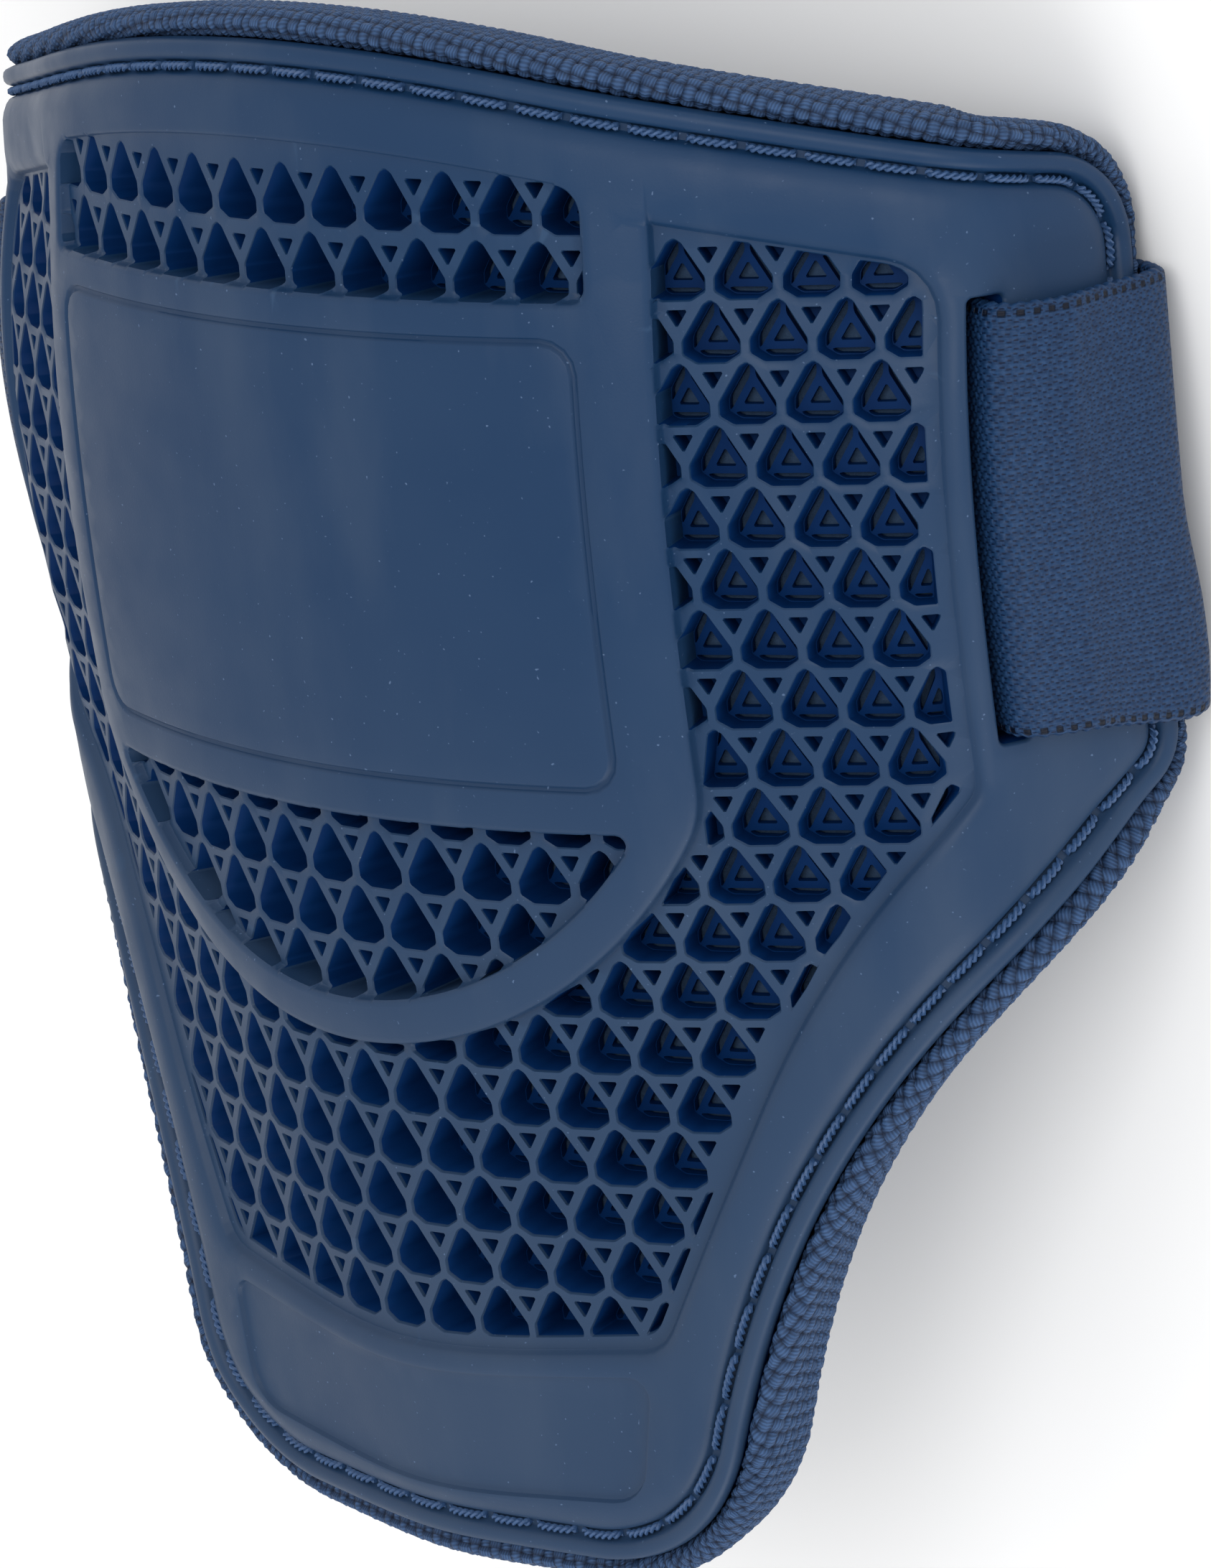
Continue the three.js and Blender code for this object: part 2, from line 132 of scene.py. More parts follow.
# The wings level off beside the shield, then the ears bend back: turn, and where it comes in
WAIST_FADE = (-24, -4)
SHOULDER = {"turn": 0.05, "from": 28, "to": 42}
LEVEL = {"turn": -0.17, "from": 42, "to": 62}
EAR = {"turn": 0.70, "from": 60, "per_v": 0.12, "wide": 10}

# The shell is thicker in the middle: more depth there, faded to none at the ends, and its share at each depth
THICKER = {"middle": 2.6, "reach": 53, "top": (60, 67), "low": (-66, -58)}
THICKER_SHARE = [(0, 0), (2.1, 1), (3.6, 1), (8.5, 0)]
REST = {"pitch": -0.0355, "lift": 49.5, "shift": 4.04}

# Fineness
ARC_STEP = 1.3
DOT_STEP = 2.0
DOT_CLEAR = 0.8
COVER_STEP = 0.335
STRAP_STEP = 0.32
SELVEDGE = {"pitch": 1.3, "depth": 0.22, "wide": 1.0}
BACK_STEP = 5
MOST_PAIRS = 2_000_000
NEAR_STEP = 4.5
STEP_FINE = 0.22
LINE_CLEAR = 0.13
HEAD_FADE = 3

# Woven cover: its rolled edge outwards from the shell's edge, from beside the bead round to the back
ROLL = [(0.35, -2.2), (0.6, -0.75), (1.35, 0.05), (2.2, -0.35), (2.75, -1.6), (2.85, -4.2), (2.7, -7.2),
        (1.9, -9.5), (0.2, -10.45), (-3, -10.6)]
YARN = 1.3
YARN_RISE = 0.26
YARN_CROWN = 0.08
STRANDS = {"across": 26.0, "along": 4.0}

# Knitted strap: pitch of its loops along and across, and the row of holes beside each edge
KNIT = {"along": 0.95, "across": 0.62, "holes_in": 0.85, "holes_wide": 0.4}

# Sewing
THREAD = {"in": 2.6, "stitch": 5.5, "gap": 0.8, "radius": 0.29, "twist": 1.5, "lift": 0.2, "dive": 0.6}

# Camera, found by matching the lattice to the photograph: angles, aim right and up, distance, focal length
CAMERA = {"azimuth": 0.804299, "elevation": 0.2859, "roll": -0.111036, "right": 26.584, "up": -0.698,
          "distance": 682.6, "focal_px": 9969.83}
PHOTO = {"width": 1687, "height": 2184}
SENSOR = 36
FLOOR_HALF = 3.0


def unit(a):
    a = np.asarray(a, float)
    return a / np.linalg.norm(a)


def both_sides(half):
    """The corners of a right half, completed on the left."""
    return list(half) + [(-s, v, r) for s, v, r in reversed(half) if s > 0]


def arc(centre, radius, start, end):
    count = max(1, math.ceil(abs(end - start) * radius / ARC_STEP))
    if radius < 2 * ARC_STEP:
        count = max(count, 4)
    angle = np.linspace(start, end, count + 1)
    return np.array(centre) + radius * np.column_stack([np.cos(angle), np.sin(angle)])


def rounded(corners):
    """A closed loop whose corners are arcs."""
    loop = []
    for i, (s, v, radius) in enumerate(corners):
        here = np.array((s, v), float)
        before = unit(np.array(corners[i - 1][:2]) - here)
        after = unit(np.array(corners[(i + 1) % len(corners)][:2]) - here)
        half = math.acos(np.clip(before @ after, -1, 1)) / 2
        centre = here + unit(before + after) * radius / math.sin(half)
        first = here + before * radius / math.tan(half) - centre
        last = here + after * radius / math.tan(half) - centre
        start = math.atan2(first[1], first[0])
        swing = math.remainder(math.atan2(last[1], last[0]) - start, math.tau)
        loop.append(arc(centre, radius, start, start + swing))
    return turned(np.vstack(loop))


def turned(loop):
    """The loop, counter-clockwise and without repeated points."""
    loop = loop[np.linalg.norm(loop - np.roll(loop, 1, 0), axis=1) > 1e-6]
    s, v = loop.T
    area = s @ np.roll(v, -1) - v @ np.roll(s, -1)
    return loop if area > 0 else loop[::-1]


def spaced(loop, step):
    """The loop with its long stretches divided evenly."""
    parts = []
    for a, b in zip(loop, np.roll(loop, -1, 0)):
        share = np.arange(math.ceil(np.linalg.norm(b - a) / step)) / math.ceil(np.linalg.norm(b - a) / step)
        parts.append(a + share[:, None] * (b - a))
    return np.vstack(parts)


def evenly(loop, step):
    """The loop at equal steps along its length."""
    ends = np.vstack([loop, loop[:1]])
    length = np.concatenate([[0], np.cumsum(np.linalg.norm(np.diff(ends, axis=0), axis=1))])
    count = round(length[-1] / step)
    at = np.arange(count) * length[-1] / count
    return np.column_stack([np.interp(at, length, ends[:, k]) for k in (0, 1)])


def outward(loop):
    """Unit normals that point out of a counter-clockwise loop."""
    along = np.roll(loop, -1, 0) - np.roll(loop, 1, 0)
    normal = np.column_stack([along[:, 1], -along[:, 0]])
    return normal / np.linalg.norm(normal, axis=1)[:, None]


def offset(loop, d):
    """The loop moved out by d, or in where d is negative, keeping its corners."""
    along = np.roll(loop, -1, 0) - loop
    along /= np.linalg.norm(along, axis=1)[:, None]
    normal = np.column_stack([along[:, 1], -along[:, 0]])
    before = np.roll(normal, 1, 0)
    return loop + d * (normal + before) / (1 + (normal * before).sum(1))[:, None]


def inside_by(points, loop):
    """How far each point is inside a loop; negative outside."""
    points = np.asarray(points, float)
    side = np.roll(loop, -1, 0) - loop
    rise = np.where(side[:, 1] == 0, 1, side[:, 1])
    ends = np.roll(loop[:, 1], -1)
    parts = []
    for part in np.array_split(points, 1 + len(points) * len(loop) // MOST_PAIRS):
        away = part[:, None] - loop
        share = np.clip((away * side).sum(2) / (side * side).sum(1), 0, 1)
        gap = away - share[..., None] * side
        v = part[:, 1, None]
        crosses = (loop[:, 1] > v) != (ends > v)
        meets = loop[:, 0] + side[:, 0] * (v - loop[:, 1]) / rise
        odd = (crosses & (part[:, 0, None] < meets)).sum(1) % 2 == 1
        parts.append(np.where(odd, 1, -1) * np.sqrt((gap * gap).sum(2).min(1)))
    return np.concatenate(parts)


def profile(table, at):
    xs, ys = np.array(table, float).T
    return np.interp(at, xs, ys)


def smoothstep(x, low, high):
    t = np.clip((x - low) / (high - low), 0, 1)
    return t * t * (3 - 2 * t)


def integral(f, to, steps=48):
    weight = np.where(np.arange(steps + 1) % 2, 4.0, 2.0)
    weight[[0, -1]] = 1
    share = np.linspace(0, 1, steps + 1)
    return (f(to[:, None] * share) * weight).sum(1) * to / steps / 3


def stood(across, along, back):
    """Places of the upright guard, laid face up."""
    c, n = math.cos(REST["pitch"]), math.sin(REST["pitch"])
    return np.column_stack([across, along * c + back * n + REST["shift"],
                            along * n - back * c + REST["lift"]])


def thicker(s, v):
    """How much deeper the shell's back is than at its sides."""
    ends = smoothstep(v, *THICKER["low"]) * (1 - smoothstep(v, *THICKER["top"]))
    return THICKER["middle"] * (1 - np.minimum(1, (s / THICKER["reach"]) ** 2)) * ends


def bend(points):
    """Flat points on the bent guard, lying face up."""
    s, v, h = np.asarray(points, float).T
    w = np.clip(v, CURL["low"], CURL["high"])
    curl = (CURL["middle"] + CURL["slope"] * w + CURL["growth"] * w * w)[:, None]
    wing = (WING["middle"] * np.exp(WING["growth"] * np.maximum(v, WING["low"])))[:, None]

    ear = EAR["from"] + EAR["per_v"] * v[:, None]
    above = smoothstep(v, *WAIST_FADE)[:, None]

    def turn(t):
        out = np.abs(t)
        extra = EAR["turn"] * smoothstep(out, ear, ear + EAR["wide"])
        for part in (SHOULDER, LEVEL):
            extra += part["turn"] * smoothstep(out, part["from"], part["to"])
        return wing * np.tanh(curl * t / wing) + above * extra * np.sign(t)

    def lean(t):
        lip = LIP["lean"] * smoothstep(-t, -LIP["from"], -LIP["to"])
        return LEAN[0] * t + LEAN[1] * t ** 2 + LEAN[2] * t ** 3 + lip

    h = h - thicker(s, v) * profile(THICKER_SHARE, -h)
    end = turn(s[:, None])[:, 0]
    across = integral(lambda t: np.cos(turn(t)), s) + h * np.sin(end)
    depth = integral(lambda t: np.sin(turn(t)), s) - h * np.cos(end)
    along = integral(lambda t: np.cos(lean(t)), v) - depth * np.sin(lean(v))
    back = integral(lambda t: np.sin(lean(t)), v) + depth * np.cos(lean(v))
    return stood(across, along, back)


def ring_quads(rings, n):
    """Quads between rings of n points each, in order."""
    return [(r * n + i, r * n + (i + 1) % n, (r + 1) * n + (i + 1) % n, (r + 1) * n + i)
            for r in range(rings - 1) for i in range(n)]


def tube_faces(rings, n):
    """The quads of a tube and its two ends."""
    return ring_quads(rings, n) + [range(n), range((rings - 1) * n, rings * n)]


class Flat:
    """Faces drawn flat, which become one bent object."""

    def __init__(self):
        self.points = []
        self.faces = []
        self.count = 0

    def add(self, points, faces):
        self.faces += [[self.count + i for i in face] for face in faces]
        self.points.append(np.asarray(points, float))
        self.count += len(points)

    def rings(self, loops):
        """Closed loops of one count, joined in order."""
        self.add(np.vstack(loops), ring_quads(len(loops), len(loops[0])))

    def area(self, outer, holes, height, lines=(), dots=()):
        """Triangles between a loop and its holes, along lines and dots; height gives each point's h."""
        points, faces = triangles(outer, holes, lines, dots)
        self.add(lifted(points, height(points)), faces)

    def piece(self, name, weld=0.002):
        mesh = bpy.data.meshes.new(name)
        mesh.from_pydata(np.vstack(self.points).tolist(), [], self.faces)
        form = bmesh.new()
        form.from_mesh(mesh)
        bmesh.ops.remove_doubles(form, verts=form.verts, dist=weld)
        bmesh.ops.recalc_face_normals(form, faces=form.faces)
        form.to_mesh(mesh)
        form.free()
        flat = np.array([p.co for p in mesh.vertices])
        return placed(name, mesh, bend(flat)), flat


def placed(name, mesh, points, sharp=40):
    """An object whose mesh takes these points, in millimetres."""
    mesh.vertices.foreach_set("co", (np.asarray(points) * MM).astype(np.float32).ravel())
    mesh.update()
    mesh.shade_smooth()
    mesh.set_sharp_from_angle(angle=math.radians(sharp))
    obj = bpy.data.objects.new(name, mesh)
    bpy.context.scene.collection.objects.link(obj)
    return obj


def lifted(points, h):
    return np.column_stack([points, np.broadcast_to(h, len(points))])


def triangles(outer, holes, lines=(), dots=()):
    points = []
    count = 0

    def put(loop):
        nonlocal count
        points.extend(Vector(p) for p in loop)
        count += len(loop)
        return list(range(count - len(loop), count))

    faces = [put(outer)] + [put(hole) for hole in holes]
    edges = []
    for line, kept in lines:
        at = dict(zip(np.flatnonzero(kept).tolist(), put(line[kept])))
        after = [(i + 1) % len(line) for i in at]
        edges += [(at[i], at[j]) for i, j in zip(at, after) if j in at]
    put(dots)
    made = delaunay_2d_cdt(points, edges, faces, 1, 1e-5)
    return np.array([tuple(p) for p in made[0]]), [f for f, found in zip(made[2], made[5]) if found == [0]]


# Outlines
outline = spaced(rounded(both_sides(OUTLINE)), ARC_STEP)
side_window = spaced(rounded(both_sides(SIDE_WINDOW)), ARC_STEP)
SIDE_CELLS = [(s, v + TOP_REACH if v > 40 else v, r) for s, v, r in SIDE_WINDOW]
side_cells = spaced(rounded(both_sides(SIDE_CELLS)), ARC_STEP)
top_window = spaced(rounded(both_sides(TOP_WINDOW)), ARC_STEP)
panel_line = spaced(rounded(both_sides(PANEL_LINE)), ARC_STEP)
plaque = spaced(rounded(both_sides(PLAQUE)), ARC_STEP)


def shield_loop():
    s = BAR_OUTER - BAND["shoulder"]
    drop = math.sqrt((BAND["outer"] - BAND["shoulder"]) ** 2 - s ** 2)
    v = BAND["centre"] - drop
    swing = math.atan2(drop, s)
    loop = np.vstack([
        [(-BAR_OUTER, BAR_HEAD), (BAR_OUTER, BAR_HEAD)],
        arc((s, v), BAND["shoulder"], 0, -swing),
        arc((0, BAND["centre"]), BAND["outer"], -swing, swing - math.pi)[1:-1],
        arc((-s, v), BAND["shoulder"], swing - math.pi, -math.pi),
    ])
    return spaced(turned(loop), ARC_STEP)


def crescent_loop():
    v = PANEL_FOOT - BAND["corner"]
    drop = BAND["centre"] - v
    s = math.sqrt((BAND["inner"] - BAND["corner"]) ** 2 - drop ** 2)
    swing = math.atan2(drop, s)
    loop = np.vstack([
        arc((s, v), BAND["corner"], math.pi / 2, -swing),
        arc((0, BAND["centre"]), BAND["inner"], -swing, swing - math.pi)[1:-1],
        arc((-s, v), BAND["corner"], swing - math.pi, -1.5 * math.pi),
    ])
    return spaced(turned(loop), ARC_STEP)


def slot_loop(side):
    low, high = sorted((side * SLOT["inner"], side * SLOT["outer"]))
    corners = [(low, SLOT["low"]), (high, SLOT["low"]), (high, SLOT["high"]), (low, SLOT["high"])]
    return spaced(rounded([(s, v, SLOT["corner"]) for s, v in corners]), ARC_STEP)


shield = shield_loop()
crescent = crescent_loop()
slots = [slot_loop(1), slot_loop(-1)]


def height(points):
    """Height of the shell's front at flat points."""
    v = points[:, 1]
    edge = profile(EDGE, inside_by(points, outline))
    fall = profile(FALL, -inside_by(points, side_window) - BORDER)
    round_off = 0.25
    gap = np.clip((round_off - np.abs(edge - fall)) / round_off, 0, 1)
    rail = np.minimum(edge, fall) - np.where(fall > 0, gap ** 2 * round_off / 4, 0)
    bar = BAR_TOP + (RAIL_TOP - BAR_TOP) * smoothstep(v, BAR_FADE, BAR_HEAD)
    below_head = 1 - smoothstep(v, BAR_HEAD - HEAD_FADE, BAR_HEAD)
    raised = profile(BAR_STEP, inside_by(points, shield)) * below_head
    h = rail + (bar - rail) * raised
    for window in (top_window, crescent):
        h += (SHIELD_LATTICE - h) * profile(WINDOW_STEP, inside_by(points, window))
    h -= LINE_DEPTH * profile(LINE_STEP, np.abs(inside_by(points, panel_line)))
    h -= PLAQUE_DEPTH * profile(PLAQUE_STEP, inside_by(points, plaque))
    for slot in slots:
        h -= profile(SLOT_STEP, -inside_by(points, slot))
    return h


# Lattice

RING = np.array([(0, 2 / 3), (-0.5, 1 / 3), (-0.5, -1 / 3), (0, -2 / 3), (0.5, -1 / 3), (0.5, 1 / 3)])
RING *= (PITCH, ROW)
CORNERS = RING + (0, CENTRE_DROP - ROW / 3)
CUT = RING[[3, 1, 5]]
ARMS = RING[[0, 2, 4]]


def cut(planes, reach=8.0):
    """The convex loop inside planes, each a normal and a distance."""
    loop = [np.array(p) * reach for p in ((-1, -1), (1, -1), (1, 1), (-1, 1))]
    for normal, limit in planes:
        kept = []
        for a, b in zip(loop, loop[1:] + loop[:1]):
            da, db = limit - normal @ a, limit - normal @ b
            if da >= 0:
                kept.append(a)
            if (da > 0) != (db > 0) and da != db:
                kept.append(a + (b - a) * da / (da - db))
        loop = kept
        if len(loop) < 3:
            return None
    return turned(np.array(loop)) if len(loop) > 2 else None


def area_of(loop):
    s, v = loop.T
    return abs(s @ np.roll(v, -1) - v @ np.roll(s, -1)) / 2


def eased(loop, size):
    """A convex loop with each corner taken by two points."""
    out = []
    for i, here in enumerate(loop):
        for other in (loop[i - 1], loop[(i + 1) % len(loop)]):
            length = np.linalg.norm(other - here)
            out.append(here + (other - here) * min(size / length, 0.36))
    return np.array(out)


def tidy(loop, shortest=0.06):
    """The loop without very short sides."""
    kept = [loop[0]]
    for p in loop[1:]:
        if np.linalg.norm(p - kept[-1]) > shortest:
            kept.append(p)
    if np.linalg.norm(kept[0] - kept[-1]) < shortest:
        kept.pop()
    return np.array(kept)


def sides(loop, inset=0.0):
    """The planes of a convex loop's sides, moved in by inset."""
    along = np.roll(loop, -1, 0) - loop
    normal = np.column_stack([along[:, 1], -along[:, 0]])
    normal /= np.linalg.norm(normal, axis=1)[:, None]
    return [(n, n @ p - inset) for n, p in zip(normal, loop)]


def cell_planes():
    planes = []
    for a, b in zip(CORNERS, np.roll(CORNERS, -1, 0)):
        middle = (a + b) / 2
        along = unit(b - a)
        normal = np.array((along[1], -along[0]))
        normal *= np.sign(normal @ middle)
        planes.append((normal, normal @ middle - WALL / 2))
    for corner in CUT:
        planes.append((unit(corner), CELL_CUT))
    return planes


def triangle_planes():
    return [(-unit(corner), TRIANGLE_INNER) for corner in CUT]


def slot_planes(corner):
    """The slot between a cell's plate and the wall towards this corner."""
    normal = unit(corner)
    planes = [(-normal, -PLATE_INNER)]
    for arm in ARMS:
        along = unit(arm)
        across = np.array((-along[1], along[0]))
        side = np.sign(across @ normal)
        if abs(across @ normal) > 0.5:
            planes.append((-across * side, -ARM / 2))
    return planes


class Region:
    """A lattice region, bounded by loops whose inside or outside it lies on."""

    def __init__(self, inner=(), outer=()):
        self.bounds = [(offset(loop, -margin), 1) for loop, margin in inner]
        self.bounds += [(offset(loop, margin), -1) for loop, margin in outer]
        self.points = np.vstack([loop for loop, _ in self.bounds])
        self.normals = np.vstack([outward(loop) * side for loop, side in self.bounds])

    def planes(self, centre, reach=5.2):
        away = self.points - centre
        near = (away * away).sum(1) < reach * reach
        return [(n, n @ p) for n, p in zip(self.normals[near], away[near])]

    def holds(self, point):
        return all(inside_by(point[None], loop)[0] * side > 0 for loop, side in self.bounds)


def lattice():
    """The cells and small triangles of every region, each a centre and a loop round it."""
    regions = [
        Region(inner=[(side_cells, 0)], outer=[(shield, LATTICE_MARGIN)]),
        Region(inner=[(top_window, LATTICE_MARGIN)]),
        Region(inner=[(crescent, LATTICE_MARGIN)]),
    ]
    cells, dots = [], []
    own_cell, own_dot = cell_planes(), triangle_planes()
    for row in range(1, ROWS + 1):
        for column in range(-COLUMNS, COLUMNS + 1):
            shift = 0.5 if row % 2 else 0
            level = (LEVEL_ROW - row) * ROW
            level += TOP_STRETCH["growth"] * max(0, level - TOP_STRETCH["from"]) ** 2
            centre = np.array(((column + shift) * PITCH, level - CENTRE_DROP))
            node = np.array(((column + 0.5 - shift) * PITCH, level))
            for region in regions:
                kinds = ((centre, own_cell, LEAST_CELL, cells), (node, own_dot, LEAST_DOT, dots))
                for at, own, least, found in kinds:
                    loop = cut(own + region.planes(at))
                    if loop is None or area_of(loop) < least or breadth(loop) < LEAST_BREADTH:
                        continue
                    if region.holds(at + loop.mean(0)):
                        found.append((at, loop))
    return cells, dots


def breadth(loop):
    """How wide a convex loop is across its narrowest way."""
    return min((limit - loop @ normal).max() for normal, limit in sides(loop))


def shrunk(loop, d, wide):
    """A convex loop drawn in towards its middle by about d."""
    middle = (loop.min(0) + loop.max(0)) / 2
    return middle + (loop - middle) * (1 - 2 * d / wide)


def front_loops(cells, size):
    """Each opening's loop on the shell's front, with its heights."""
    loops = [at + tidy(eased(loop, size)) for at, loop in cells]
    middles = np.array([loop.mean(0) for loop in loops])
    near = np.zeros(len(loops), bool)
    for step in (shield, top_window, crescent):
        near |= np.abs(inside_by(middles, step)) < NEAR_STEP
    loops = [spaced(loop, STEP_FINE) if close else loop for loop, close in zip(loops, near)]
    levels = height(np.vstack(loops))
    return list(zip(loops, np.split(levels, np.cumsum([len(loop) for loop in loops])[:-1])))


def add_cell(shell, at, wide, top, level):
    """One cell's walls, plate, slots and hole. Returns its openings through the plate."""
    draft = min(DRAFT, 0.16 * wide)
    edge = shrunk(top, min(CHAMFER, draft / 2), wide)
    deep = thicker(*at) - PLATE
    base = shrunk(top, draft, wide) - (0, DROOP * deep)
    shell.rings([lifted(top, level), lifted(edge, level - CHAMFER), lifted(base, PLATE)])
    at = at - (0, DROOP * deep)
    within = sides(tidy(base - at, 0.3), LEDGE)
    gaps = [cut(within + slot_planes(corner)) for corner in CUT]
    gaps.append(cut(within + [(unit(corner), HOLE_INNER) for corner in CUT]))
    gaps = [at + tidy(eased(gap, GAP_EASE)) for gap in gaps if gap is not None and area_of(gap) > LEAST_GAP]
    shell.area(base, gaps, lambda p: PLATE)
    for gap in gaps:
        shell.rings([lifted(gap, PLATE), lifted(gap, SHELL_BACK)])
    return gaps


def add_triangle(shell, wide, top, level):
    draft = min(0.16, 0.14 * wide)
    edge = shrunk(top, draft / 2, wide)
    base = lifted(shrunk(top, draft, wide), TRIANGLE_FLOOR)
    shell.rings([lifted(top, level), lifted(edge, level - draft), base])
    shell.add(base, [range(len(base))])


def clear_of(points, holes, gap=LINE_CLEAR):
    """Which points lie outside convex holes by more than a gap."""
    clear = np.ones(len(points), bool)
    for hole in holes:
        low, high = hole.min(0) - gap, hole.max(0) + gap
        near = np.flatnonzero(((points > low) & (points < high)).all(1))
        if len(near):
            normals, limits = (np.array(part) for part in zip(*sides(hole)))
            clear[near] &= (points[near] @ normals.T - limits).max(1) > gap
    return clear


def feature_lines(holes):
    """The lines that the shell's front bends along, each with the points where it counts."""
    lines = [(offset(outline, -d), None) for d, _ in EDGE[1:-1]]
    beyond = [spaced(offset(side_window, BORDER + d), STEP_FINE) for d, _ in FALL[:-1]]
    lines += [(loop, (inside_by(loop, shield) < -0.4) & clear_of(loop, holes)) for loop in beyond]
    bars = [spaced(offset(shield, -d), STEP_FINE) for d, _ in BAR_STEP]
    lines += [(loop, (loop[:, 1] < BAR_HEAD - HEAD_FADE) & clear_of(loop, holes)) for loop in bars]
    windows = (top_window, crescent)
    steps = [spaced(offset(window, -d), STEP_FINE) for window in windows for d, _ in WINDOW_STEP]
    lines += [(loop, clear_of(loop, holes)) for loop in steps]
    lines += [(offset(panel_line, side * d), None) for side in (1, -1) for d, _ in LINE_STEP[side < 0:]]
    lines += [(offset(plaque, -d), None) for d, _ in PLAQUE_STEP]
    lines += [(offset(slot, d), None) for slot in slots for d, _ in SLOT_STEP[1:]]
    return [(loop, np.ones(len(loop), bool) if kept is None else kept) for loop, kept in lines]


def smooth_dots(lines, holes):
    """Points that carry the bend across the smooth stretches of the shell's front."""
    low, high = outline.min(0), outline.max(0)
    rows = np.arange(low[1], high[1], DOT_STEP * math.sqrt(3) / 2)
    dots = np.array([(s + (i % 2) * DOT_STEP / 2, v)
                     for i, v in enumerate(rows) for s in np.arange(low[0], high[0], DOT_STEP)])
    lattices = inside_by(dots, side_window) > -BORDER
    lattices &= inside_by(dots, shield) < 0.3
    for window in (top_window, crescent):
        lattices |= inside_by(dots, window) > 0
    dots = dots[(inside_by(dots, outline) > 3.6) & ~lattices]
    marks = np.vstack([loop[kept] for loop, kept in lines] + holes)
    tree = KDTree(len(marks))
    for i, p in enumerate(marks):
        tree.insert((*p, 0), i)
    tree.balance()
    return dots[[tree.find((*p, 0))[2] > DOT_CLEAR for p in dots]]


def make_shell():
    shell = Flat()
    cells, small = lattice()
    fronts = front_loops(cells, CELL_EASE)
    through = []
    for (at, loop), (top, level) in zip(cells, fronts):
        through += add_cell(shell, at, breadth(loop), top, level)
    small_fronts = front_loops(small, TRIANGLE_EASE)
    for (_, loop), (top, level) in zip(small, small_fronts):
        add_triangle(shell, breadth(loop), top, level)
    holes = [top for top, _ in fronts + small_fronts] + slots
    lines = feature_lines(holes[:-2])
    shell.area(outline, holes, height, lines, smooth_dots(lines, holes))
    shell.rings([lifted(outline, height(outline))] + [lifted(offset(outline, d), h) for d, h in WALL_RINGS])
    for slot in slots:
        shell.rings([lifted(slot, height(slot)), lifted(slot, SHELL_BACK)])
    back = offset(outline, WALL_RINGS[-1][0])
    shell.area(back, through + slots, lambda p: SHELL_BACK, (), evenly_inside(outline, BACK_STEP))
    obj, flat = shell.piece("shell_rubber")
    # faces deeper than RECESS take the second material, the rubber painted darker as recess shade
    for face in obj.data.polygons:
        face.material_index = int(flat[list(face.vertices), 2].mean() < RECESS)
    return obj


def evenly_inside(loop, step, clear=2.0):
    low, high = loop.min(0), loop.max(0)
    across, up = (np.arange(low[k], high[k], step) for k in (0, 1))
    dots = np.array([(s, v) for s in across for v in up])
    return dots[inside_by(dots, loop) > clear]


# Foam core


def make_foam():
    foam = Flat()
    loop = offset(outline, -FOAM["inset"])
    dots = evenly_inside(loop, BACK_STEP)
    for h in (FOAM["top"], FOAM["back"]):
        foam.area(loop, [], lambda p, h=h: h, (), dots)
    foam.rings([lifted(loop, h) for h in (FOAM["top"], FOAM["back"])])
    return foam.piece("foam_pad")[0]


# Woven cover


def curve(points, steps):
    """A smooth line through points, with a number of steps on each stretch."""
    points = np.asarray(points, float)
    ends = np.vstack([2 * points[0] - points[1], points, 2 * points[-1] - points[-2]])
    parts = []
    for k, count in enumerate(steps):
        p0, p1, p2, p3 = ends[k:k + 4]
        d0, d1, d2 = np.sqrt([max(np.linalg.norm(b - a), 1e-6) for a, b in ((p0, p1), (p1, p2), (p2, p3))])
        m1 = ((p1 - p0) / d0 - (p2 - p0) / (d0 + d1) + (p2 - p1) / d1) * d1
        m2 = ((p2 - p1) / d1 - (p3 - p1) / (d1 + d2) + (p3 - p2) / d2) * d1
        t = (np.arange(count) / count)[:, None]
        parts.append((2 * t ** 3 - 3 * t ** 2 + 1) * p1 + (t ** 3 - 2 * t ** 2 + t) * m1
                     + (3 * t ** 2 - 2 * t ** 3) * p2 + (t ** 3 - t ** 2) * m2)
    return np.vstack(parts + [points[-1:]])


def lengths(line):
    return np.concatenate([[0], np.cumsum(np.linalg.norm(np.diff(line, axis=0), axis=1))])


def resampled(line, step):
    at = lengths(line)
    even = np.linspace(0, at[-1], max(2, round(at[-1] / step) + 1))
    return np.column_stack([np.interp(even, at, line[:, k]) for k in range(line.shape[1])])


def weave(x, y):
    """Height of a plain weave in yarn units, from about -0.2 to 0.3."""
    i, j = np.round(x), np.round(y)
    warp = YARN_RISE * np.cos(math.pi * (y + i)) + YARN_CROWN * (1 - 4 * (x - i) ** 2)
    weft = -YARN_RISE * np.cos(math.pi * (x + j)) + YARN_CROWN * (1 - 4 * (y - j) ** 2)
    return np.maximum(warp, weft)


def pressed(s, v):
    """How far the strap presses the pad's edge in."""
    outside = np.maximum(STRAP["low"] - v, v - STRAP["high"])
    at_ear = smoothstep(np.abs(s), *PRESS["ear"])
    return PRESS["depth"] * (1 - smoothstep(outside, PRESS["full"], PRESS["start"])) * at_ear


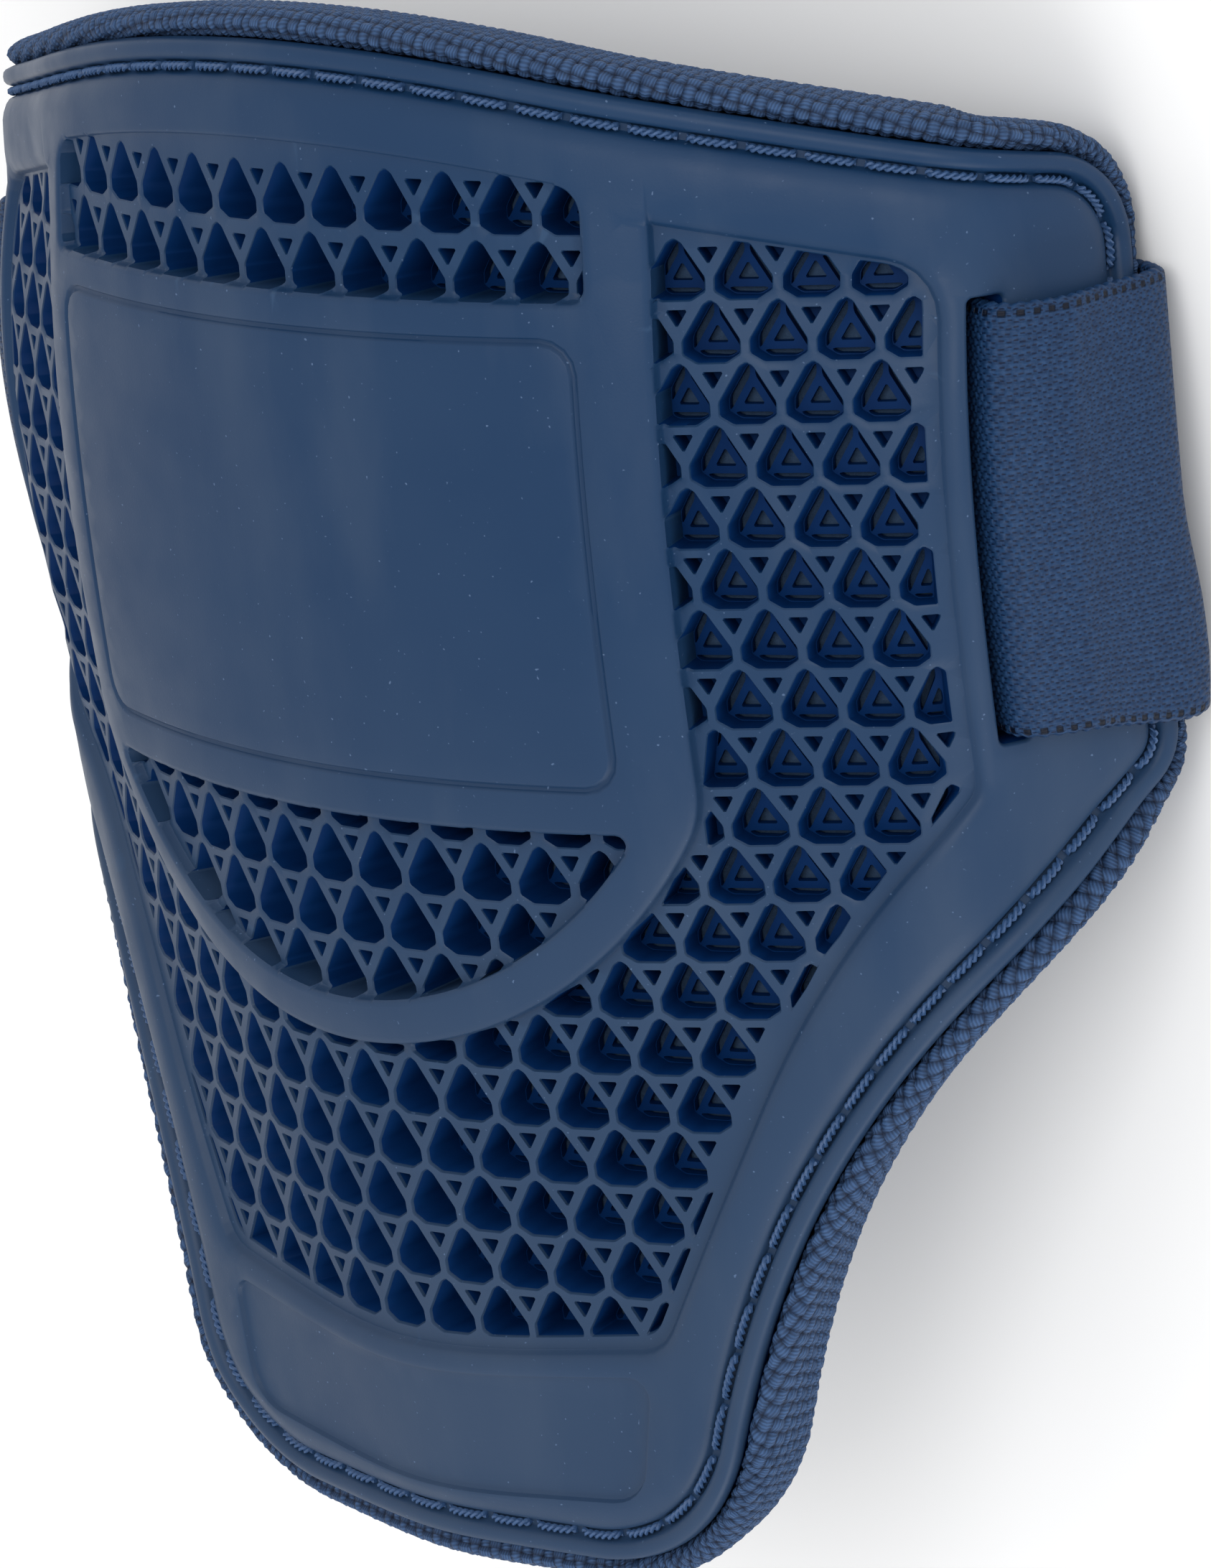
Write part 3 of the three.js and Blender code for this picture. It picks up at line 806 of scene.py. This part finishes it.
def make_cover():
    cover = Flat()
    edge = evenly(outline, COVER_STEP)
    normal = outward(edge)
    section = resampled(curve(ROLL, [24] * (len(ROLL) - 1)), COVER_STEP)
    along = np.gradient(section, axis=0)
    facing = np.column_stack([-along[:, 1], along[:, 0]]) / np.linalg.norm(along, axis=1)[:, None]
    at = lengths(section)
    press = pressed(*edge.T)
    loops, cloths = [], []
    for (d, h), (nd, nh), w in zip(section, facing, at):
        cloth = edge + normal * (section[-1, 0] + at[-1] - w)
        cloths.append(cloth)
        shown = smoothstep(w, 0.4, 1.2) * (1 - smoothstep(w, at[-1] - 5, at[-1] - 3))
        rise = shown * weave(*(cloth / YARN).T) * YARN
        out = d - press * np.clip((d - RIM["gap"]) / RIM["width"], 0, 1) + nd * rise
        loops.append(np.column_stack([edge + normal * out[:, None], h + nh * rise]))
    inner = offset(edge, RIM["gap"])
    cover.rings([lifted(inner, COVER_INSIDE)] + loops)
    dots = evenly_inside(outline, BACK_STEP, 6)
    cover.area(inner, [], lambda p: COVER_INSIDE, (), dots)
    back = loops[-1]
    cover.area(back[:, :2], [], lambda p: back[0, 2], (), dots)
    obj, flat = cover.piece("cover_weave")
    add_uv(obj.data, cloth_places(flat, np.vstack(loops), np.vstack(cloths)))
    return obj


def cloth_places(flat, known, cloth):
    """Where each point lies on the flat cloth; points off the rolled edge lie as they are drawn."""
    tree = KDTree(len(known))
    for i, p in enumerate(known):
        tree.insert(p, i)
    tree.balance()
    places = flat[:, :2].copy()
    for i, p in enumerate(flat):
        _, index, away = tree.find(p)
        if away < 0.01:
            places[i] = cloth[index]
    return places


# Strap


def strap_points(v):
    """The strap's middle line at height v: out of the slot, over the ear's edge, and along the floor."""
    top, low = OUTLINE[1], OUTLINE[2]
    edge = np.interp(v, (low[1], top[1]), (low[0], top[0]))
    rim = edge + RIM["gap"] + RIM["width"] - PRESS["depth"]
    clear = STRAP["thick"] / 2 + STRAP["gap"]
    slot = STRAP["in_slot"]
    flat = [(slot, SHELL_BACK + 0.5), (slot, 0.5), (slot + 0.3, 2.1), (slot + 1.3, 3.2), (slot + 3.2, 4),
            (slot + 5.4, 4.5), (slot + 6.2, 4.5), (slot + 8.2, 4), (slot + 11, 3.5), (edge - 1, 3),
            (edge + 1, 2.35), (rim + 0.5, 1.5), (rim + clear + 0.1, -1.3), (rim + clear, -5.3),
            (rim + clear, -9.1), (rim + clear - 0.05, -10.8)]
    low = (STRAP["high"] - v) / (STRAP["high"] - STRAP["low"])
    loose = STRAP["loose"] * smoothstep(low, 0.5, 0.8) * (1 - smoothstep(low, 0.85, 1.1))
    flat = [(s + loose * smoothstep(s, slot + 8, edge), h) for s, h in flat]
    points = bend([(s, v - STRAP["sag"] * low ** 2 * smoothstep(s, slot + 4, edge), h) for s, h in flat])
    corner = bend([(rim, v, -10.6)])[0]
    floor = [(corner[0] * share, corner[1], STRAP["thick"] / 2) for share in (0.97, 0.93, 0.85, 0.6, 0.3, 0)]
    right = np.vstack([points, floor])
    return np.vstack([right, right[-2::-1] * (-1, 1, 1)])


def strap_grid():
    """Middle points and normals of the strap, by place along it and row across it."""
    wide = STRAP["high"] - STRAP["low"]
    ends = np.array((0, 0.08, 0.25, 0.5, 0.9, 1.6))
    across = np.concatenate([ends, np.arange(3, wide - 2, 2.5), wide - ends[::-1]])
    lines = [strap_points(STRAP["low"] + a) for a in across]
    middle = lines[len(lines) // 2]
    steps = [max(2, math.ceil(np.linalg.norm(b - a) / STRAP_STEP)) for a, b in zip(middle, middle[1:])]
    rows = np.array([curve(line, steps) for line in lines])
    rows[..., 2] = np.maximum(rows[..., 2], STRAP["thick"] / 2)
    along = np.gradient(rows, axis=1)
    normal = np.stack([-along[..., 2], 0 * along[..., 0], along[..., 0]], -1)
    normal /= np.linalg.norm(normal, axis=2)[..., None]
    return across, rows, normal


def make_strap():
    across, rows, normal = strap_grid()
    wide = STRAP["high"] - STRAP["low"]
    side = np.clip(1 - np.minimum(across, wide - across) / 0.9, 0, 1)
    half = STRAP["thick"] / 2 * np.sqrt(1 - 0.96 * side ** 2)
    at = lengths(rows[len(rows) // 2])
    fade = np.clip(1 - np.minimum(across, wide - across) / SELVEDGE["wide"], 0, 1)
    inward = np.sign(wide / 2 - across) * fade
    scallop = SELVEDGE["depth"] * (0.5 - 0.5 * np.cos(math.tau * at / SELVEDGE["pitch"]))
    rows[..., 1] += inward[:, None] * scallop
    front = rows + normal * half[:, None, None]
    back = rows - normal * half[:, None, None]
    ring = np.concatenate([front, back[::-1]])
    count, long = ring.shape[:2]
    points = ring.transpose(1, 0, 2).reshape(-1, 3)
    points[:, 2] = np.maximum(points[:, 2], 0)
    faces = tube_faces(long, count)
    mesh = bpy.data.meshes.new("strap_elastic")
    mesh.from_pydata(points.tolist(), [], faces)
    row = np.concatenate([across, across[::-1]])
    places = np.array([(a, r) for a in at for r in row])
    add_uv(mesh, places)
    form = bmesh.new()
    form.from_mesh(mesh)
    bmesh.ops.recalc_face_normals(form, faces=form.faces)
    form.to_mesh(mesh)
    form.free()
    return placed("strap_elastic", mesh, points)


def add_uv(mesh, places):
    """A map of flat places, in millimetres, for the cloth's pattern."""
    layer = mesh.uv_layers.new(name="cloth")
    index = np.zeros(len(mesh.loops), int)
    mesh.loops.foreach_get("vertex_index", index)
    layer.data.foreach_set("uv", places[index].astype(np.float32).ravel())


# Sewing


def tube(centres, side, up, radius, sides_count):
    """Rings of a tube and its faces; side and up span each ring."""
    angle = np.arange(sides_count) / sides_count * math.tau
    around = np.cos(angle)[:, None] * side[:, None] + np.sin(angle)[:, None] * up[:, None]
    rings = centres[:, None] + radius * around
    return rings.reshape(-1, 3), tube_faces(len(centres), sides_count)


def make_thread():
    thread = Flat()
    line = offset(outline, -THREAD["in"])
    closed = np.vstack([line, line[:1]])
    at = lengths(closed)
    count = round(at[-1] / THREAD["stitch"])
    pitch = at[-1] / count
    t = np.linspace(0, 1, 21)
    floor = profile(EDGE, THREAD["in"])
    for k in range(count):
        place = (k + 0.5) * pitch + (t - 0.5) * (pitch - THREAD["gap"])
        middle = np.column_stack([np.interp(place, at, closed[:, i]) for i in (0, 1)])
        along = np.gradient(middle, axis=0)
        out = np.column_stack([along[:, 1], -along[:, 0]]) / np.linalg.norm(along, axis=1)[:, None]
        rise = floor + THREAD["lift"] + 1.5 * THREAD["radius"] - THREAD["dive"] * np.abs(2 * t - 1) ** 5
        side = np.column_stack([out, 0 * t])
        up = np.column_stack([0 * out, 0 * t + 1])
        start = rng.uniform(0, math.tau)
        for strand in (0, math.pi):
            turn = start + strand + math.tau * place / THREAD["twist"]
            swing = 0.75 * THREAD["radius"]
            centres = np.column_stack([middle, rise]) + swing * (
                np.cos(turn)[:, None] * side + np.sin(turn)[:, None] * up)
            thread.add(*tube(centres, side, up, THREAD["radius"] * 0.86, 6))
    return thread.piece("sewing_thread", 1e-5)[0]


# Materials


class Paint:
    """A procedural material, built node by node."""

    def __init__(self, name, roughness, **constants):
        self.material = bpy.data.materials.new(name)
        self.material.use_nodes = True
        self.tree = self.material.node_tree
        self.shader = self.tree.nodes["Principled BSDF"]
        self.shader.inputs["Roughness"].default_value = roughness
        for socket, value in constants.items():
            self.shader.inputs[socket.replace("_", " ")].default_value = value

    def node(self, kind, inputs=(), **settings):
        made = self.tree.nodes.new("ShaderNode" + kind)
        for key, value in settings.items():
            setattr(made, key, value)
        for socket, value in dict(inputs).items():
            if isinstance(value, bpy.types.NodeSocket):
                self.tree.links.new(value, made.inputs[socket])
            else:
                made.inputs[socket].default_value = value
        return made

    def math(self, operation, a, b=0.0):
        return self.node("Math", {0: a, 1: b}, operation=operation).outputs[0]

    def plus(self, a, b):
        return self.math("ADD", a, b)

    def minus(self, a, b):
        return self.math("SUBTRACT", a, b)

    def times(self, a, b):
        return self.math("MULTIPLY", a, b)

    def over(self, a, b):
        return self.math("DIVIDE", a, b)

    def cosine(self, a):
        return self.math("COSINE", a)

    def place(self):
        return self.node("TexCoord").outputs["Object"]

    def cloth(self):
        return self.node("UVMap", uv_map="cloth").outputs["UV"]

    def noise(self, scale, detail=2.0, vector=None):
        inputs = {"Vector": vector or self.place(), "Scale": scale, "Detail": detail}
        return self.node("TexNoise", inputs).outputs["Fac"]

    def ramp(self, value, low, high, to_low=0.0, to_high=1.0):
        return self.node("MapRange", {0: value, 1: low, 2: high, 3: to_low, 4: to_high}).outputs[0]

    def mix(self, share, a, b):
        made = self.node("Mix", data_type="RGBA")
        for socket, value in ((0, share), (6, a), (7, b)):
            if isinstance(value, bpy.types.NodeSocket):
                self.tree.links.new(value, made.inputs[socket])
            else:
                made.inputs[socket].default_value = value if socket == 0 else (*value, 1)
        return made.outputs[2]

    def bump(self, value, distance, strength=1.0):
        made = self.node("Bump", {"Height": value, "Distance": distance, "Strength": strength})
        self.tree.links.new(made.outputs[0], self.shader.inputs["Normal"])

    def set(self, socket, value):
        self.tree.links.new(value, self.shader.inputs[socket])


def rubber():
    paint = Paint("navy_rubber", 0.45, Specular_IOR_Level=0.22)
    bloom = paint.ramp(paint.noise(45, 3), 0.35, 0.7)
    colour = paint.mix(bloom, (0.0065, 0.032, 0.088), (0.0100, 0.037, 0.094))
    drawn = paint.node("VectorMath", {0: paint.place(), 1: (1, 0.3, 1)}, operation="MULTIPLY").outputs[0]
    film = paint.ramp(paint.noise(70, 5, drawn), 0.5, 0.8, 0, 0.6)
    colour = paint.mix(film, colour, (0.036, 0.064, 0.118))
    # painted sheen: the lower part of the guard is lightened and greyed in patches, as if lit from below
    along = paint.node("SeparateXYZ", {0: paint.place()}).outputs[1]
    patchy = paint.ramp(paint.noise(28, 3), 0.3, 0.7, 0.5, 1)
    lower_sheen = paint.times(paint.ramp(along, 0.025, -0.02, 0, 0.4), patchy)
    colour = paint.mix(lower_sheen, colour, (0.045, 0.070, 0.115))
    speck = paint.ramp(paint.noise(2600, 0), 0.82, 0.88)
    colour = paint.mix(speck, colour, (0.07, 0.12, 0.22))
    # convex edges lightened: partly wear, partly a painted highlight along the rims
    wear_and_rim_highlight = paint.ramp(paint.node("NewGeometry").outputs["Pointiness"], 0.55, 0.68, 0, 0.5)
    paint.set("Base Color", paint.mix(wear_and_rim_highlight, colour, (0.030, 0.072, 0.150)))
    paint.set("Roughness", paint.ramp(paint.noise(160, 4), 0.3, 0.7, 0.38, 0.5))
    paint.bump(paint.noise(3800, 3), 0.00002, 0.5)
    return [paint.material, recess()]


def recess():
    """The rubber of the recess walls, painted darker and duller than the front as shade in the recesses."""
    paint = Paint("navy_rubber_recess_shade", 0.6, Specular_IOR_Level=0.08)
    tone = paint.ramp(paint.noise(220, 3), 0.3, 0.7)
    paint.set("Base Color", paint.mix(tone, (0.0004, 0.018, 0.084), (0.0007, 0.023, 0.100)))
    paint.bump(paint.noise(3800, 3), 0.00002, 0.5)
    return paint.material


def foam_grey():
    paint = Paint("grey_foam", 0.9, Specular_IOR_Level=0.2)
    grain = paint.noise(1800, 3)
    paint.set("Base Color", paint.mix(grain, (0.020, 0.044, 0.092), (0.040, 0.074, 0.138)))
    paint.bump(grain, 0.0002)
    return [paint.material]


def weave_nodes(paint):
    """The weave's height and the threads along its upper yarns, from the cloth's map."""
    parts = paint.node("SeparateXYZ", {0: paint.cloth()})
    x = paint.over(parts.outputs[0], YARN)
    y = paint.over(parts.outputs[1], YARN)

    def yarn(over, along, sign):
        number = paint.math("ROUND", over)
        off = paint.minus(over, number)
        wave = paint.cosine(paint.times(paint.plus(along, number), math.pi))
        crown = paint.minus(1.0, paint.times(paint.times(off, off), 4.0))
        rise = paint.plus(paint.times(wave, sign * YARN_RISE), paint.times(crown, YARN_CROWN))
        twist = paint.plus(paint.times(off, STRANDS["across"]), paint.times(along, STRANDS["along"]))
        strand = paint.math("SINE", twist)
        return rise, strand

    warp, warp_strand = yarn(x, y, 1)
    weft, weft_strand = yarn(y, x, -1)
    top = paint.math("MAXIMUM", warp, weft)
    is_warp = paint.math("GREATER_THAN", warp, weft)
    strand = paint.plus(paint.times(warp_strand, is_warp),
                        paint.times(weft_strand, paint.minus(1.0, is_warp)))
    return top, strand


def woven():
    paint = Paint("navy_weave", 0.7, Specular_IOR_Level=0.3)
    top, strand = weave_nodes(paint)
    # painted shade: the weave is darkened where its yarns sink under the crossing ones and lighter on the
    # yarn tops
    depth = paint.ramp(top, 0.03, 0.32)
    fibre = paint.ramp(strand, -1, 1, 0.55, 1.15)
    tone = paint.times(depth, fibre)
    colour = paint.mix(tone, (0.0006, 0.005, 0.020), (0.040, 0.092, 0.210))
    colour = paint.mix(paint.ramp(paint.noise(700, 2), 0.45, 0.75, 0, 0.5), colour, (0.005, 0.022, 0.065))
    paint.set("Base Color", colour)
    paint.bump(paint.plus(top, paint.times(strand, 0.04)), 0.0008, 0.8)
    return [paint.material]


def knit():
    paint = Paint("navy_elastic", 0.5, Specular_IOR_Level=0.22)
    parts = paint.node("SeparateXYZ", {0: paint.cloth()})
    wobble = paint.ramp(paint.noise(900, 2), 0, 1, -0.35, 0.35)
    x = paint.plus(paint.over(parts.outputs[0], KNIT["along"]), wobble)
    y = paint.plus(paint.over(parts.outputs[1], KNIT["across"]), paint.times(wobble, 0.5))
    row = paint.math("FLOOR", y)
    turn = paint.times(paint.plus(x, paint.times(row, 0.5)), math.tau)
    loop = paint.cosine(turn)
    rib = paint.cosine(paint.times(paint.minus(y, paint.plus(row, 0.5)), math.tau))
    top = paint.plus(paint.times(loop, 0.5), paint.times(rib, 0.5))
    fleck = paint.noise(1900, 2)
    gap = paint.times(paint.ramp(loop, -0.2, -0.8), paint.ramp(rib, 0.5, -0.4))
    tone = paint.minus(paint.ramp(fleck, 0.3, 0.75, 0.35, 0.95), paint.times(gap, 0.75))
    colour = paint.mix(tone, (0.0008, 0.009, 0.036), (0.014, 0.052, 0.138))
    far = paint.minus(STRAP["high"] - STRAP["low"], parts.outputs[1])
    edge = paint.math("MINIMUM", parts.outputs[1], far)
    beat = paint.cosine(paint.times(parts.outputs[0], math.tau / SELVEDGE["pitch"]))
    off_row = paint.over(paint.minus(edge, KNIT["holes_in"]), KNIT["holes_wide"])
    near = paint.minus(1.0, paint.math("ABSOLUTE", off_row))
    hole = paint.times(paint.ramp(near, 0, 0.5), paint.ramp(beat, 0, 0.5))
    paint.set("Base Color", paint.mix(hole, colour, (0.0004, 0.003, 0.012)))
    relief = paint.minus(paint.plus(top, paint.times(fleck, 0.8)), paint.times(hole, 2.5))
    paint.bump(relief, 0.00012, 0.9)
    return [paint.material]


def sewn():
    paint = Paint("navy_thread", 0.5)
    fibre = paint.noise(2600, 2)
    paint.set("Base Color", paint.mix(fibre, (0.014, 0.050, 0.135), (0.045, 0.105, 0.240)))
    paint.bump(fibre, 0.00008)
    return [paint.material]


def floor_paint():
    paint = Paint("pale_floor", 0.9, Specular_IOR_Level=0.1)
    paint.set("Base Color", paint.mix(paint.noise(6, 2), (0.93, 0.93, 0.93), (0.95, 0.95, 0.95)))
    return paint.material


# Pieces on the frame

PIECES = [
    (make_shell, rubber, "shell", "navy_rubber"),
    (make_foam, foam_grey, "foam", "grey_foam"),
    (make_cover, woven, "cover", "navy_weave"),
    (make_strap, knit, "strap", "navy_elastic"),
    (make_thread, sewn, None, "navy_weave"),
]


def add_pieces():
    for make, paint, node, slot in PIECES:
        piece = make()
        for material in paint():
            piece.data.materials.append(material)
        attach(piece, "root")
        if node:
            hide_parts(node)


# Stage


def picture_axes():
    """The picture's right, up and towards-the-camera directions, and its aim, in millimetres."""
    a, e, r = CAMERA["azimuth"], CAMERA["elevation"], CAMERA["roll"]
    back = np.array((math.sin(a) * math.cos(e), -math.cos(a) * math.cos(e), math.sin(e)))
    level = np.array((math.cos(a), math.sin(a), 0))
    rise = np.cross(back, level)
    right = math.cos(r) * level + math.sin(r) * rise
    up = -math.sin(r) * level + math.cos(r) * rise
    aim = CAMERA["right"] * right + CAMERA["up"] * up
    places = [aim, aim + right, aim + up, aim + back]
    laid = stood(*np.array([(x, z, y) for x, y, z in places]).T)
    return laid[1] - laid[0], laid[2] - laid[0], laid[3] - laid[0], laid[0]


def add_camera():
    right, up, back, aim = picture_axes()
    lens = bpy.data.cameras.new("camera")
    lens.sensor_width = SENSOR
    lens.lens = CAMERA["focal_px"] / PHOTO["height"] * SENSOR
    lens.clip_start, lens.clip_end = 0.01, 20
    camera = bpy.data.objects.new("camera", lens)
    bpy.context.scene.collection.objects.link(camera)
    turn = Matrix(np.column_stack([right, up, back]).tolist()).to_4x4()
    turn.translation = Vector((aim + CAMERA["distance"] * back) * MM)
    camera.matrix_world = turn
    bpy.context.scene.camera = camera


def add_light(name, towards, distance, size, power):
    """A soft square lamp that faces the guard from a direction."""
    lamp = bpy.data.lights.new(name, "AREA")
    lamp.size, lamp.energy = size, power
    obj = bpy.data.objects.new(name, lamp)
    bpy.context.scene.collection.objects.link(obj)
    direction = Vector(towards).normalized()
    obj.location = direction * distance
    obj.rotation_mode = "QUATERNION"
    obj.rotation_quaternion = direction.to_track_quat("Z", "Y")


def add_stage():
    right, up, back, _ = picture_axes()
    mesh = bpy.data.meshes.new("floor")
    corners = [(s * FLOOR_HALF, t * FLOOR_HALF, 0) for s, t in ((-1, -1), (1, -1), (1, 1), (-1, 1))]
    mesh.from_pydata(corners, [], [(0, 1, 2, 3)])
    floor = bpy.data.objects.new("floor", mesh)
    bpy.context.scene.collection.objects.link(floor)
    mesh.materials.append(floor_paint())
    add_light("side", -0.3 * right + 0.05 * up + 1.0 * back, 1.0, 0.5, 3)
    add_light("low", (0.5, -0.8, 0.35), 1.0, 0.6, 3)
    world = bpy.data.worlds.new("studio")
    world.use_nodes = True
    world.node_tree.nodes["Background"].inputs["Color"].default_value = (1, 1, 1, 1)
    world.node_tree.nodes["Background"].inputs["Strength"].default_value = 0.9
    bpy.context.scene.world = world
    bpy.context.scene.view_settings.view_transform = "Standard"


add_pieces()
add_camera()
add_stage()
